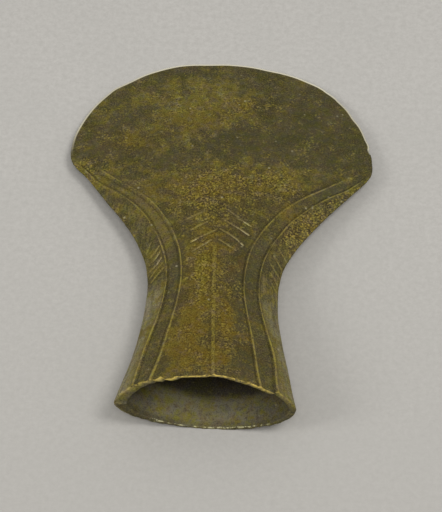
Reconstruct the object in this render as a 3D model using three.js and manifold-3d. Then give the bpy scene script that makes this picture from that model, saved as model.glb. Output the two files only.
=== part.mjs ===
// A cast bronze axe head with a fan-shaped blade and an open socket, lying on its back.
//
// It is one casting. The raised lines, the centre rib and the herringbone strokes were part of the
// mould, so they are joined to the body here as they are on the real piece. The socket is empty.
//
// Sizes are millimetres. The casting is shaped in its own frame first: x across the blade, y from the
// socket mouth (y = 0) to the cutting edge, z through the thickness with the mould joint at z = 0.
// It is then tipped so that the lip of the mouth and the cutting edge both touch the ground.

import * as THREE from 'three';
import { mergeVertices } from 'three/addons/utils/BufferGeometryUtils.js';
import Module from 'manifold-3d';

// Outline of the blade and socket, seen from above the face
const TIP_Y = 95.4; // height of the two blade corners above the mouth
const TIP_HALF_WIDTH = 47.7;
const SIDE_OUTLINE = [ // distance from the mouth, half width
  [0, 26.7], [12, 24.0], [26, 21.2], [42, 19.9], [52, 20.8], [62, 24.4], [72, 30.2], [84, 38.7],
  [TIP_Y, TIP_HALF_WIDTH],
];

// The cutting edge is part of an ellipse with slightly full shoulders, worn a little lower towards +x
const EDGE_CENTRE = new THREE.Vector2(-0.77, 99.87);
const EDGE_RADIUS_ACROSS = 48.3;
const EDGE_RADIUS_ALONG = 45.85;
const EDGE_POWER = 2.14; // 2 is a plain ellipse
const EDGE_LEAN = THREE.MathUtils.degToRad(-5.3);
const EDGE_START = THREE.MathUtils.degToRad(189.7); // at the -x corner
const EDGE_END = THREE.MathUtils.degToRad(0); // at the +x corner
const EDGE_RISE_POWER = EDGE_POWER / (EDGE_POWER - 1);
const EDGE_RISE_FROM_ACROSS = Math.abs(EDGE_RADIUS_ACROSS * Math.sin(EDGE_LEAN)) ** EDGE_RISE_POWER;
const EDGE_RISE_FROM_ALONG = Math.abs(EDGE_RADIUS_ALONG * Math.cos(EDGE_LEAN)) ** EDGE_RISE_POWER;
const EDGE_RISE = (EDGE_RISE_FROM_ACROSS + EDGE_RISE_FROM_ALONG) ** (1 / EDGE_RISE_POWER);
const EDGE_TOP_Y = EDGE_CENTRE.y + EDGE_RISE;
const BOW_POWER = 2.2; // how late the rows across the casting start to bow out into the edge

// Half the thickness along the middle of the face, and of the outline all round
const MIDDLE_DEPTH = [ // distance from the mouth, half thickness
  [0, 11.5], [20, 9.2], [45, 7.0], [70, 5.1], [95, 3.5], [120, 1.9], [138, 0.72], [144.8, 0.36],
  [EDGE_TOP_Y, 0.3],
];
const SEAM_HALF_THICKNESS = 0.3;
const SECTION_POWER_AT_MOUTH = 2;
const SECTION_POWER_AT_EDGE = 6; // flat plate with steep sides
const SECTION_FULLNESS_AT_MOUTH = 0.6; // oval section: 0.5 is an ellipse, 1 comes to a sharp corner
const SECTION_SHARP_Y = 60; // from here on the faces meet in a sharp corner

// Socket
const WALL_AT_MOUTH = 1.3;
const WALL_AT_END = 2.2;
const SOCKET_OUTLINE = [ // distance from the mouth, half width of the hollow
  [0, 23.9], [12, 21.3], [26, 18.8], [42, 17.3], [60, 16.4], [80, 13.6], [88, 9],
];
const SOCKET_END_Y = 88;
const SOCKET_CORNER_DEPTH = 0.15; // half height of the hollow where its two faces meet

// Raised lines: share of the half width, against the share of the way from mouth to blade corner
const INNER_LINE = [
  [0, 0.61], [0.2, 0.56], [0.41, 0.45], [0.5, 0.485], [0.57, 0.555], [0.7, 0.685], [0.82, 0.8], [1, 0.92],
];
const OUTER_LINE = [
  [0, 0.8], [0.15, 0.832], [0.42, 0.68], [0.5, 0.7], [0.57, 0.745], [0.7, 0.815], [0.86, 0.915], [1, 0.965],
];
const LINE_HEIGHT = 0.5;
const LINE_HALF_WIDTH = 0.65;
const BAND_SINK = 0.25; // the band between the two lines lies a little lower
const RIB_HEIGHT = 0.5;
const RIB_HALF_WIDTH = 0.8;
const RIB_TOP_Y = 60;
const RIB_FADE = 4;
const RAISED_WORK_FADE = 0.9; // share of the way to the edge where the lines start to die out

// Herringbone strokes on each face, above the rib
const CHEVRON_COUNT = 4;
const CHEVRON_FIRST_Y = 61.8; // where the arms of the lowest chevron would meet
const CHEVRON_PITCH = 4.7;
const CHEVRON_SLOPE = 0.75;
const CHEVRON_INNER_X = 1.6;
const CHEVRON_OUTER_X = 7.4;
const CHEVRON_SPREAD = 1.0; // each chevron reaches this much further out than the one below

// Slanting strokes on the side faces
const HATCH_COUNT = 5;
const HATCH_FIRST_Y = 48.5;
const HATCH_PITCH = 4.3;
const HATCH_INNER_GAP = 1.1; // from the outer line
const HATCH_OUTER_GAP = 0.9; // from the outline
const HATCH_DROP = 4;

const STROKE_HEIGHT = 0.4;
const STROKE_HALF_WIDTH = 0.5;
const STROKE_ROOT = 0.5; // how far a stroke's foot goes into the body
const STROKE_CREST = 0.35; // half width of a stroke's crest, as a share of that of its foot
const STROKE_END_HEIGHT = 0.2; // share of the height that is left at the two ends

const REST_WEAR = 0.2; // depth of the worn flat under the lip
const GROUND_WIDTH = 40; // sizes of the block that takes the worn flat off
const GROUND_HEIGHT = 10;

// How finely the surfaces are divided
const ROWS = 36;
const SIDE_COLUMNS = [0.08, 0.3, 0.65]; // shares of the way from the outline to the outer line
const FACE_COLUMNS = 8; // between the inner line and the rib
const SOCKET_ROWS = 14;
const SOCKET_COLUMNS = 14;
const STROKE_STEPS = 4;
const HALVINGS = 30; // enough to find a place on the face to a millionth of a millimetre
const SAME_CORNER = 1e-5;
const FINEST_DETAIL = 0.002;

const bronze = new THREE.MeshStandardMaterial({
  name: 'bronze',
  color: 0x5c5030,
  roughness: 0.55,
  metalness: 0.75,
});

// Smooth curve through the given pairs that never overshoots them
function curveThrough(pairs) {
  const slopes = pairs.slice(1).map(([x, y], i) => (y - pairs[i][1]) / (x - pairs[i][0]));
  const tangents = pairs.map((pair, i) => {
    if (i === 0) return slopes[0];
    if (i === pairs.length - 1) return slopes[i - 1];
    const before = slopes[i - 1];
    const after = slopes[i];
    return before * after <= 0 ? 0 : (2 * before * after) / (before + after);
  });
  return (x) => {
    const clamped = THREE.MathUtils.clamp(x, pairs[0][0], pairs[pairs.length - 1][0]);
    let i = 0;
    while (i < pairs.length - 2 && clamped > pairs[i + 1][0]) i += 1;
    const span = pairs[i + 1][0] - pairs[i][0];
    const t = (clamped - pairs[i][0]) / span;
    const rise = t * t * (3 - 2 * t);
    const easeOut = t * (1 - t) * (1 - t) * span;
    const easeIn = t * t * (t - 1) * span;
    const level = pairs[i][1] * (1 - rise) + pairs[i + 1][1] * rise;
    return level + tangents[i] * easeOut + tangents[i + 1] * easeIn;
  };
}

const halfWidthAt = curveThrough(SIDE_OUTLINE);
const middleDepthAt = curveThrough(MIDDLE_DEPTH);
const socketHalfWidthAt = curveThrough(SOCKET_OUTLINE);
const innerLineAt = curveThrough(INNER_LINE);
const outerLineAt = curveThrough(OUTER_LINE);

// Point of the cutting edge, for across from -1 at one corner to 1 at the other
function edgePoint(across) {
  const angle = THREE.MathUtils.lerp(EDGE_START, EDGE_END, (across + 1) / 2);
  const full = (part) => Math.sign(part) * Math.abs(part) ** (2 / EDGE_POWER);
  const level = new THREE.Vector2(
    EDGE_RADIUS_ACROSS * full(Math.cos(angle)),
    EDGE_RADIUS_ALONG * full(Math.sin(angle)),
  );
  return level.rotateAround(new THREE.Vector2(), EDGE_LEAN).add(EDGE_CENTRE);
}

// Rows are straight at the mouth and bow out until the last one is the cutting edge.
// along runs from 0 at the mouth to 1 at the blade corners and the edge.
function rowPoint(across, along) {
  const bow = along ** BOW_POWER;
  const edge = edgePoint(across);
  const straightShare = (1 - bow) * across + (bow * edge.x) / TIP_HALF_WIDTH;
  const x = halfWidthAt(along * TIP_Y) * straightShare;
  const y = along * TIP_Y + bow * (edge.y - TIP_Y);
  return new THREE.Vector2(x, y);
}

// Half thickness of the plain casting, before any raised work
function plainDepth(across, along) {
  const middle = middleDepthAt(rowPoint(0, along).y);
  const power = THREE.MathUtils.lerp(SECTION_POWER_AT_MOUTH, SECTION_POWER_AT_EDGE, along ** 2);
  const sharpened = THREE.MathUtils.smoothstep(along * TIP_Y, 0, SECTION_SHARP_Y);
  const fullness = THREE.MathUtils.lerp(SECTION_FULLNESS_AT_MOUTH, 1, sharpened);
  const bulge = (1 - Math.abs(across) ** power) ** fullness;
  return THREE.MathUtils.lerp(SEAM_HALF_THICKNESS, middle, bulge);
}

// Columns of one half face, from the outline to the middle, with the height of the raised work on each
function halfFaceColumns(along) {
  const halfWidth = halfWidthAt(along * TIP_Y);
  const line = LINE_HALF_WIDTH / halfWidth;
  const rib = RIB_HALF_WIDTH / halfWidth;
  const outer = outerLineAt(along);
  const inner = innerLineAt(along);
  const fade = 1 - THREE.MathUtils.smoothstep(along, RAISED_WORK_FADE, 1);
  const ribTop = 1 - THREE.MathUtils.smoothstep(rowPoint(0, along).y, RIB_TOP_Y - RIB_FADE, RIB_TOP_Y);
  const raised = LINE_HEIGHT * fade;
  const sunk = -BAND_SINK * fade;
  const sideFoot = outer + line;
  const faceFoot = inner - line;
  const face = [];
  for (let column = 1; column < FACE_COLUMNS; column += 1) {
    face.push([THREE.MathUtils.lerp(faceFoot, rib, column / FACE_COLUMNS), 0]);
  }
  return [
    [1, 0],
    ...SIDE_COLUMNS.map((share) => [THREE.MathUtils.lerp(1, sideFoot, share), 0]),
    [sideFoot, 0],
    [outer, raised],
    [outer - line, sunk],
    [(outer + inner) / 2, sunk],
    [inner + line, sunk],
    [inner, raised],
    [faceFoot, 0],
    ...face,
    [rib, 0],
    [0, RIB_HEIGHT * ribTop],
  ];
}

// Points of one row of a face, from the -x outline to the +x outline
function faceRow(along, side) {
  const half = halfFaceColumns(along);
  const left = half.map(([across, height]) => [-across, height]);
  const right = half.slice(0, -1).reverse();
  return [...left, ...right].map(([across, height]) => {
    const flat = rowPoint(across, along);
    return new THREE.Vector3(flat.x, flat.y, side * (plainDepth(across, along) + height));
  });
}

// Closed skin over rings of points, with flat ends that join the two halves of the first and last ring
function skinOverRings(rings) {
  const size = rings[0].length;
  const positions = rings.flat().flatMap((point) => [point.x, point.y, point.z]);
  const triangles = [];
  for (let row = 0; row < rings.length - 1; row += 1) {
    for (let column = 0; column < size; column += 1) {
      const next = (column + 1) % size;
      const a = row * size + column;
      const b = row * size + next;
      const c = a + size;
      const d = b + size;
      triangles.push(a, b, c, b, d, c);
    }
  }
  const lastStart = (rings.length - 1) * size;
  for (let column = 0; column < size / 2 - 1; column += 1) {
    const across = size - 1 - column;
    triangles.push(column, across, column + 1, column + 1, across, across - 1);
    const a = lastStart + column;
    const b = lastStart + across;
    triangles.push(a, a + 1, b, a + 1, b - 1, b);
  }
  const geometry = new THREE.BufferGeometry();
  geometry.setAttribute('position', new THREE.Float32BufferAttribute(positions, 3));
  geometry.setIndex(triangles);
  return geometry;
}

function castingBody() {
  const rings = [];
  for (let row = 0; row <= ROWS; row += 1) {
    const along = row / ROWS;
    const front = faceRow(along, 1);
    const back = faceRow(along, -1).reverse();
    rings.push([...front, ...back]);
  }
  return skinOverRings(rings);
}

// The hollow: the same oval as the mouth, narrowing to a flat tongue inside the blade
function socketHollow() {
  const rings = [];
  for (let row = -1; row <= SOCKET_ROWS; row += 1) {
    const y = (row / SOCKET_ROWS) * SOCKET_END_Y;
    const halfWidth = socketHalfWidthAt(y);
    const wall = THREE.MathUtils.lerp(WALL_AT_MOUTH, WALL_AT_END, Math.max(y, 0) / SOCKET_END_Y);
    const depth = middleDepthAt(y) - wall;
    const face = [];
    for (let column = 0; column <= SOCKET_COLUMNS; column += 1) {
      const across = -Math.cos((column / SOCKET_COLUMNS) * Math.PI);
      const room = Math.max(1 - Math.abs(across) ** SECTION_POWER_AT_MOUTH, 0);
      const bulge = room ** SECTION_FULLNESS_AT_MOUTH;
      const rise = THREE.MathUtils.lerp(SOCKET_CORNER_DEPTH, depth, bulge);
      face.push(new THREE.Vector3(halfWidth * across, y, rise));
    }
    const back = face.map((point) => new THREE.Vector3(point.x, point.y, -point.z)).reverse();
    rings.push([...face, ...back]);
  }
  return skinOverRings(rings);
}

// Finds the place on the face above a point of the plan, by halving the range again and again
function depthAbove(x, y) {
  let across = 0;
  let low = 0;
  let high = 1;
  for (let step = 0; step < HALVINGS; step += 1) {
    const along = (low + high) / 2;
    let left = -1;
    let right = 1;
    for (let halving = 0; halving < HALVINGS; halving += 1) {
      across = (left + right) / 2;
      if (rowPoint(across, along).x < x) left = across;
      else right = across;
    }
    if (rowPoint(across, along).y < y) low = along;
    else high = along;
  }
  return plainDepth(across, low);
}

// One raised stroke that follows the face from one point of the plan to another, with faded ends
function stroke(from, to, side) {
  const direction = to.clone().sub(from).normalize();
  const sideways = new THREE.Vector2(direction.y, -direction.x);
  const rings = [];
  for (let step = 0; step <= STROKE_STEPS; step += 1) {
    const t = step / STROKE_STEPS;
    const middle = from.clone().lerp(to, t);
    const height = STROKE_HEIGHT * (step === 0 || step === STROKE_STEPS ? STROKE_END_HEIGHT : 1);
    const section = [
      [-1, -STROKE_ROOT],
      [-STROKE_CREST, height],
      [STROKE_CREST, height],
      [1, -STROKE_ROOT],
    ];
    const ring = section.map(([share, rise]) => {
      const plan = middle.clone().addScaledVector(sideways, share * STROKE_HALF_WIDTH);
      return new THREE.Vector3(plan.x, plan.y, side * (depthAbove(plan.x, plan.y) + rise));
    });
    rings.push(side > 0 ? ring : ring.reverse());
  }
  return skinOverRings(rings);
}

function chevronStrokes() {
  const strokes = [];
  for (let count = 0; count < CHEVRON_COUNT; count += 1) {
    const apex = CHEVRON_FIRST_Y + count * CHEVRON_PITCH;
    const reach = CHEVRON_OUTER_X + count * CHEVRON_SPREAD;
    for (const hand of [-1, 1]) {
      const from = new THREE.Vector2(hand * CHEVRON_INNER_X, apex - CHEVRON_SLOPE * CHEVRON_INNER_X);
      const to = new THREE.Vector2(hand * reach, apex - CHEVRON_SLOPE * reach);
      strokes.push(stroke(from, to, 1), stroke(from, to, -1));
    }
  }
  return strokes;
}

// Where a line that runs up the casting crosses the given height above the mouth
function lineX(lineAt, y) {
  let low = 0;
  let high = 1;
  for (let halving = 0; halving < HALVINGS; halving += 1) {
    const along = (low + high) / 2;
    if (rowPoint(lineAt(along), along).y < y) low = along;
    else high = along;
  }
  return rowPoint(lineAt(low), low).x;
}

function hatchStrokes() {
  const strokes = [];
  for (let count = 0; count < HATCH_COUNT; count += 1) {
    const topY = HATCH_FIRST_Y + count * HATCH_PITCH;
    const bottomY = topY - HATCH_DROP;
    const innerX = lineX(outerLineAt, topY) + HATCH_INNER_GAP;
    const outerX = lineX(() => 1, bottomY) - HATCH_OUTER_GAP;
    for (const hand of [-1, 1]) {
      const from = new THREE.Vector2(hand * innerX, topY);
      const to = new THREE.Vector2(hand * outerX, bottomY);
      strokes.push(stroke(from, to, 1), stroke(from, to, -1));
    }
  }
  return strokes;
}

// The ground touches the worn lip and the cutting edge, so it leans against the casting by this angle
const lipDepth = MIDDLE_DEPTH[0][1] - REST_WEAR;
const restTilt = Math.atan((lipDepth - SEAM_HALF_THICKNESS) / EDGE_TOP_Y);

// Block below the ground, whose top takes the worn flat off the lip
function groundBlock() {
  const block = new THREE.BoxGeometry(GROUND_WIDTH, EDGE_TOP_Y, GROUND_HEIGHT);
  block.translate(0, (EDGE_TOP_Y - GROUND_WIDTH) / 2, -GROUND_HEIGHT / 2);
  block.rotateX(restTilt);
  block.translate(0, 0, -lipDepth);
  return block;
}

const wasm = await Module();
wasm.setup();

function toSolid(geometry) {
  const bare = geometry.clone();
  bare.deleteAttribute('normal');
  bare.deleteAttribute('uv');
  const merged = mergeVertices(bare, SAME_CORNER);
  const vertProperties = new Float32Array(merged.attributes.position.array);
  const triVerts = new Uint32Array(merged.index.array);
  return new wasm.Manifold(new wasm.Mesh({ numProp: 3, vertProperties, triVerts }));
}

function toGeometry(solid) {
  const mesh = solid.getMesh();
  const geometry = new THREE.BufferGeometry();
  geometry.setAttribute('position', new THREE.Float32BufferAttribute(mesh.vertProperties, 3));
  geometry.setIndex(Array.from(mesh.triVerts));
  return mergeVertices(geometry, FINEST_DETAIL);
}

// Where a stroke crosses the face, a corner can lie almost on the far side of its own triangle.
// That side is turned so that it runs to the corner, which moves the surface by less than FINEST_DETAIL.
function turnThinTriangles(geometry) {
  const position = geometry.attributes.position;
  const index = geometry.index.array;
  const triangles = [];
  for (let i = 0; i < index.length; i += 3) {
    const corners = [index[i], index[i + 1], index[i + 2]];
    if (new Set(corners).size === 3) triangles.push(corners);
  }
  const at = (corner) => new THREE.Vector3().fromBufferAttribute(position, corner);
  const turnsOf = ([a, b, c]) => [[a, b, c], [b, c, a], [c, a, b]];
  const firstSide = ([a, b]) => at(a).distanceTo(at(b));
  const longestFirst = (corners) => turnsOf(corners).sort((p, q) => firstSide(q) - firstSide(p))[0];
  const thickness = (corners) => {
    const area = new THREE.Triangle(...corners.map(at)).getArea();
    return (2 * area) / firstSide(longestFirst(corners));
  };
  const thin = triangles.map((corners, i) => i).filter((i) => thickness(triangles[i]) < FINEST_DETAIL);
  for (const i of thin) {
    const [a, b, c] = longestFirst(triangles[i]);
    const sharesSide = (corners, j) => j !== i && corners.includes(a) && corners.includes(b);
    const beside = triangles.findIndex(sharesSide);
    const d = triangles[beside].find((corner) => corner !== a && corner !== b);
    const before = Math.min(thickness(triangles[i]), thickness(triangles[beside]));
    const turned = [[a, d, c], [d, b, c]];
    if (Math.min(...turned.map(thickness)) > before) {
      [triangles[i], triangles[beside]] = turned;
    }
  }
  geometry.setIndex(triangles.flat());
  return geometry;
}

function axeHead() {
  let solid = toSolid(castingBody());
  for (const raised of [...chevronStrokes(), ...hatchStrokes()]) {
    solid = solid.add(toSolid(raised));
  }
  solid = solid.subtract(toSolid(socketHollow()));
  solid = solid.subtract(toSolid(groundBlock()));
  const mesh = new THREE.Mesh(turnThinTriangles(toGeometry(solid)), bronze);
  mesh.name = 'axe_head';
  return mesh;
}

// Tips the casting onto its lip and edge, then centres it over the origin
const axe = new THREE.Group();
const tipped = new THREE.Group();
tipped.add(axeHead());
tipped.rotation.x = -restTilt;
axe.add(tipped);
const box = new THREE.Box3().setFromObject(axe, true);
const centre = box.getCenter(new THREE.Vector3());
tipped.position.set(-centre.x, -centre.y, -box.min.z);

export default axe;
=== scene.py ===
import math

import bpy
import numpy as np
from mathutils import Matrix, Vector


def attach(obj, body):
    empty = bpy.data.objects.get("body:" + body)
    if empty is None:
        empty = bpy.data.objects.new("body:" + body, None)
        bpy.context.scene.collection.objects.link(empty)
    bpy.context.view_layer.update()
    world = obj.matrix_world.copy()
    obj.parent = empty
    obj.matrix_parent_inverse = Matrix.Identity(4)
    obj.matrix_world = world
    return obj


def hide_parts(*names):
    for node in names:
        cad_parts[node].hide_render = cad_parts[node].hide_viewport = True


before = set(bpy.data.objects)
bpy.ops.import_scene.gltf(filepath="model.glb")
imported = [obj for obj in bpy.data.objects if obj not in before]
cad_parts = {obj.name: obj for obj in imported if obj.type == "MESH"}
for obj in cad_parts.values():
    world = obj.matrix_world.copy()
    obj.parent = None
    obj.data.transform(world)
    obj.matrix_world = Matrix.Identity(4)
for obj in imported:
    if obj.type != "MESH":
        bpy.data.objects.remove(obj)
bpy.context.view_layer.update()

# How the axe head lies
# It rests on the worn lip of its socket and on its cutting edge, so the middle plane of the casting
# leans over the ground. The casting is drawn in millimetres in its own frame: x across the blade,
# y from the mouth (0) to the edge, z through the thickness. This turns that frame onto the ground.
MM = 0.001
LEAN = math.radians(-4.3136)
LYING_PLACE = Vector((0.76946, -72.29586, 11.26901)) * MM
lying = Matrix.Translation(LYING_PLACE) @ Matrix.Rotation(LEAN, 4, "X")

# The view of the photograph
# A long lens looks down on the face from the side of the mouth, a little to the right of the middle.
# Its angles are taken from the middle plane of the casting.
AIM = Vector((1.694, 59.17, 0))
VIEW_DISTANCE = 700
VIEW_SIDE_ANGLE = math.radians(2.8)
VIEW_HEIGHT_ANGLE = math.radians(48)
PICTURE_HEIGHT = 512
FOCAL_LENGTH_IN_PIXELS = 2243.85
SENSOR = 36

backward = Vector((
    math.sin(VIEW_SIDE_ANGLE) * math.cos(VIEW_HEIGHT_ANGLE),
    -math.cos(VIEW_SIDE_ANGLE) * math.cos(VIEW_HEIGHT_ANGLE),
    math.sin(VIEW_HEIGHT_ANGLE),
))
rightward = Vector((math.cos(VIEW_SIDE_ANGLE), math.sin(VIEW_SIDE_ANGLE), 0))
camera_turn = Matrix((rightward, backward.cross(rightward), backward)).transposed().to_4x4()
camera_data = bpy.data.cameras.new("photo_camera")
camera_data.sensor_fit = "VERTICAL"
camera_data.sensor_height = SENSOR
camera_data.lens = FOCAL_LENGTH_IN_PIXELS * SENSOR / PICTURE_HEIGHT
camera = bpy.data.objects.new("photo_camera", camera_data)
camera.matrix_world = (
    lying @ Matrix.Translation((AIM + backward * VIEW_DISTANCE) * MM) @ camera_turn
)
bpy.context.scene.collection.objects.link(camera)
bpy.context.scene.camera = camera
bpy.context.scene.view_settings.view_transform = "Standard"


# The table
# A wide sheet of pale grey paper with a fine even grain. The axe head lies straight on it.
def paint(red, green, blue):
    """The linear colour of a colour that is seen as these values from 0 to 255."""
    seen = [value / 255 for value in (red, green, blue)]
    return [v / 12.92 if v <= 0.04045 else ((v + 0.055) / 1.055) ** 2.4 for v in seen] + [1]


def add_node(tree, kind, inputs=None, **settings):
    """A node whose inputs are given by name or number, as a value or as the socket that feeds them."""
    made = tree.nodes.new(kind)
    for name, value in settings.items():
        setattr(made, name, value)
    for name, value in (inputs or {}).items():
        if isinstance(value, bpy.types.NodeSocket):
            tree.links.new(value, made.inputs[name])
        else:
            made.inputs[name].default_value = value
    return made


def maths(tree, operation, *values):
    return add_node(tree, "ShaderNodeMath", dict(enumerate(values)), operation=operation).outputs[0]


def blend_colours(tree, share, first, second, way="MIX"):
    """Goes from the first colour to the second as the share goes from 0 to 1."""
    made = add_node(
        tree, "ShaderNodeMix", {0: share, 6: first, 7: second}, data_type="RGBA", blend_type=way
    )
    return made.outputs[2]


def fade_between(tree, value, low, high):
    """0 where the value is at or below low, 1 at or above high, and a soft step between."""
    made = add_node(
        tree,
        "ShaderNodeMapRange",
        {"Value": value, "From Min": low, "From Max": high},
        interpolation_type="SMOOTHSTEP",
    )
    return made.outputs[0]


def speckle(tree, place, size, detail=2, roughness=0.5):
    """Noise whose patches are about as wide as the given size in millimetres."""
    inputs = {"Vector": place, "Scale": 1 / (size * MM), "Detail": detail, "Roughness": roughness}
    return add_node(tree, "ShaderNodeTexNoise", inputs).outputs[0]


def new_material(name):
    """An empty material with its output, its shader and the place on the piece."""
    made = bpy.data.materials.new(name)
    made.use_nodes = True
    tree = made.node_tree
    tree.nodes.clear()
    shader = add_node(tree, "ShaderNodeBsdfPrincipled")
    add_node(tree, "ShaderNodeOutputMaterial", {"Surface": shader.outputs[0]})
    place = add_node(tree, "ShaderNodeTexCoord").outputs["Object"]
    return made, tree, shader, place


TABLE_SIDE = 3.0
DARK_PAPER = paint(178, 175, 169)
LIGHT_PAPER = paint(193, 190, 184)
# Painted shade: towards the camera the paper is painted a little darker
NEAR_PAPER_PAINTED_SHADE = paint(172, 169, 163)  # towards the camera the paper is a little darker
CLOUDED_PAPER = paint(178, 176, 170)
NEAR_SPAN = (0.09, -0.15)  # along the table, in metres
PAPER_GRAIN = 1.9
PAPER_CLOUD = 30
paper, tree, shader, place = new_material("pale_paper")
grain = speckle(tree, place, PAPER_GRAIN, detail=4, roughness=0.85)
cloud = speckle(tree, place, PAPER_CLOUD)
paper_tone = blend_colours(tree, fade_between(tree, grain, 0.25, 0.75), DARK_PAPER, LIGHT_PAPER)
along_table = add_node(tree, "ShaderNodeSeparateXYZ", {0: place}).outputs["Y"]
# Painted shade, darker towards the camera
painted_shade_nearness = maths(tree, "MULTIPLY", fade_between(tree, along_table, *NEAR_SPAN), 0.6)
paper_tone = blend_colours(tree, painted_shade_nearness, paper_tone, NEAR_PAPER_PAINTED_SHADE)
cloudiness = maths(tree, "MULTIPLY", fade_between(tree, cloud, 0.3, 0.8), 0.25)
paper_tone = blend_colours(tree, cloudiness, paper_tone, CLOUDED_PAPER)
tree.links.new(paper_tone, shader.inputs["Base Color"])
shader.inputs["Roughness"].default_value = 0.9
shader.inputs["Specular IOR Level"].default_value = 0.1

half_side = TABLE_SIDE / 2
table_corners = [(x * half_side, y * half_side, 0) for x, y in ((-1, -1), (1, -1), (1, 1), (-1, 1))]
table_mesh = bpy.data.meshes.new("table")
table_mesh.from_pydata(table_corners, [], [(0, 1, 2, 3)])
table_mesh.materials.append(paper)
table = bpy.data.objects.new("table", table_mesh)
bpy.context.scene.collection.objects.link(table)

# The light
# Soft daylight all round and three large lamps: a strong one high on the right, a weaker and lower one
# on the left, and a third high in front of the mouth. So the shadows are short and soft.
ROOM_STRENGTH = 0.45
LAMPS = [  # name, direction to the lamp, distance, width in metres, power in watts
    ("right_lamp", (0.43, -0.17, 0.89), 1.5, 0.60, 7.6),
    ("left_lamp", (-0.78, -0.31, 0.54), 1.5, 0.60, 5.6),
    ("front_lamp", (0.05, -0.54, 0.84), 1.5, 0.45, 4.6),
]
world = bpy.data.worlds.new("room")
world.use_nodes = True
world.node_tree.nodes.clear()
sky = add_node(world.node_tree, "ShaderNodeBackground", {"Color": (1, 1, 1, 1), "Strength": ROOM_STRENGTH})
add_node(world.node_tree, "ShaderNodeOutputWorld", {"Surface": sky.outputs[0]})
bpy.context.scene.world = world
for name, direction, distance, width, power in LAMPS:
    lamp_data = bpy.data.lights.new(name, "AREA")
    lamp_data.shape = "DISK"
    lamp_data.size = width
    lamp_data.energy = power
    lamp = bpy.data.objects.new(name, lamp_data)
    towards = Vector(direction).normalized()
    lamp.location = towards * distance
    lamp.rotation_euler = towards.to_track_quat("Z", "Y").to_euler()
    bpy.context.scene.collection.objects.link(lamp)

# The casting
# One piece of tin bronze, poured in a two-part mould round a core that left the socket hollow. The
# mould joint runs round the outline. Border lines and a centre rib stand up from both faces.
TIP_Y = 95.4
TIP_HALF_WIDTH = 47.7
LEFT_OUTLINE = [
    (0, 26.9), (6, 25.4), (12, 23.9), (24, 21.6), (36, 20.3), (44, 20.0), (52, 20.8), (62, 24.0), (72, 29.3),
    (80, 34.8), (86, 38.7), (92, 42.9), (TIP_Y, TIP_HALF_WIDTH),
]
RIGHT_OUTLINE = [
    (0, 26.7), (6, 25.3), (12, 24.2), (24, 21.8), (36, 20.1), (44, 19.9), (52, 20.8), (62, 24.7), (72, 30.8),
    (80, 36.5), (86, 41.2), (92, 45.7), (TIP_Y, TIP_HALF_WIDTH),
]
EDGE_CENTRE_X = -0.77
EDGE_CENTRE_Y = 99.87
EDGE_RADIUS_ACROSS = 48.5
EDGE_RADIUS_ALONG = 46.05
EDGE_POWER = 2.14  # 2 is a plain ellipse, and a little more makes its shoulders full
EDGE_LEAN = math.radians(-5.3)
EDGE_START = math.radians(189.7)
EDGE_END = math.radians(0)
EDGE_TOP_Y = 145.8
BOW_POWER = 2.2
MIDDLE_DEPTH = [
    (0, 11.5), (20, 9.2), (45, 7.0), (70, 5.1), (95, 3.5), (120, 1.9), (138, 0.72), (144.8, 0.36),
    (EDGE_TOP_Y, 0.3),
]
SEAM_DEPTH = 0.3
SEAM_ROUNDING = 0.12
EDGE_ROUNDING = 0.15
SECTION_POWER_AT_MOUTH = 2
SECTION_POWER_AT_EDGE = 6
SECTION_FULLNESS_AT_MOUTH = 0.6
SECTION_FULL_Y = 60  # above this the section is full and its faces meet in a sharp seam
INNER_LINE = [
    (0, 0.61), (0.2, 0.56), (0.41, 0.45), (0.5, 0.485), (0.57, 0.555), (0.7, 0.692), (0.83, 0.838),
    (0.9, 0.892), (1, 0.945),
]
OUTER_LINE = [
    (0, 0.8), (0.15, 0.832), (0.42, 0.68), (0.5, 0.7), (0.57, 0.745), (0.7, 0.817), (0.83, 0.91),
    (0.91, 0.966), (1, 0.985),
]
LINE_HEIGHT = 0.42
LINE_HALF_WIDTH = [(0, 0.85), (15, 0.75), (40, 0.5), (TIP_Y, 0.48)]
BAND_SINK = 0.12
BAND_FADE = (-0.4, 0.9)  # from the middle of each border line, in half widths of that line
GROOVE_DEPTH = 0.2
GROOVE_OFFSET = 1.3  # from the middle of a border line, in half widths of that line
GROOVE_HALF_WIDTH = 0.65  # in the same measure
INNER_GROOVE_SHARE = 0.9
RIB_GROOVE_OFFSET = 1.15  # from the middle of the rib, in half widths of the rib
RIB_GROOVE_HALF_WIDTH = 0.5
RIB_GROOVE_SHARE = 0.7
OUTER_LINE_FADE = (0.96, 1)  # where the lines run out, as shares of the way to the edge
INNER_LINE_FADE = (0.88, 0.96)
RIB_HEIGHT = 0.5
RIB_HALF_WIDTH = 0.85
RIB_TOP_Y = 60
RIB_FADE = 4
RIB_PLACE = [(0, 2.3), (3, 2.1), (18, 1.3), (34, 0.5), (59, -0.5), (75, 0)]  # it leans a little to the right
RIB_SHIFT_FADE = (60, 80)  # above the rib's end the face is drawn straight again
BACK_WEAR_FADE = (0.5, 7)  # near its lip the lower face is worn smooth
WALL_AT_MOUTH = 1.3
WALL_AT_END = 2.2
SOCKET_OUTLINE = [(0, 23.9), (12, 21.3), (26, 18.8), (42, 17.3), (60, 16.4), (80, 13.6), (88, 9)]
SOCKET_END_Y = 88
SOCKET_CORNER_DEPTH = 0.15
ROW_SPANS = [  # from where to where along the piece, as shares of it, and in how many rows
    (0, 0.02, 8), (0.02, 0.46, 52), (0.46, 0.66, 92), (0.66, 0.96, 58), (0.96, 1, 24),
]
COLUMNS = [12, 8, 12, 8, 40, 4]  # side face, outer line, band, inner line, face, half rib
SIDE_FACE_STRETCH, BAND_STRETCH, FACE_STRETCH = 0, 2, 4  # their places in COLUMNS
SIDE_FACE_CROWDING = 1.6
FACE_CROWDING = 1.25
SOCKET_ROWS = 42
LIP_ROWS = 4


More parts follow.
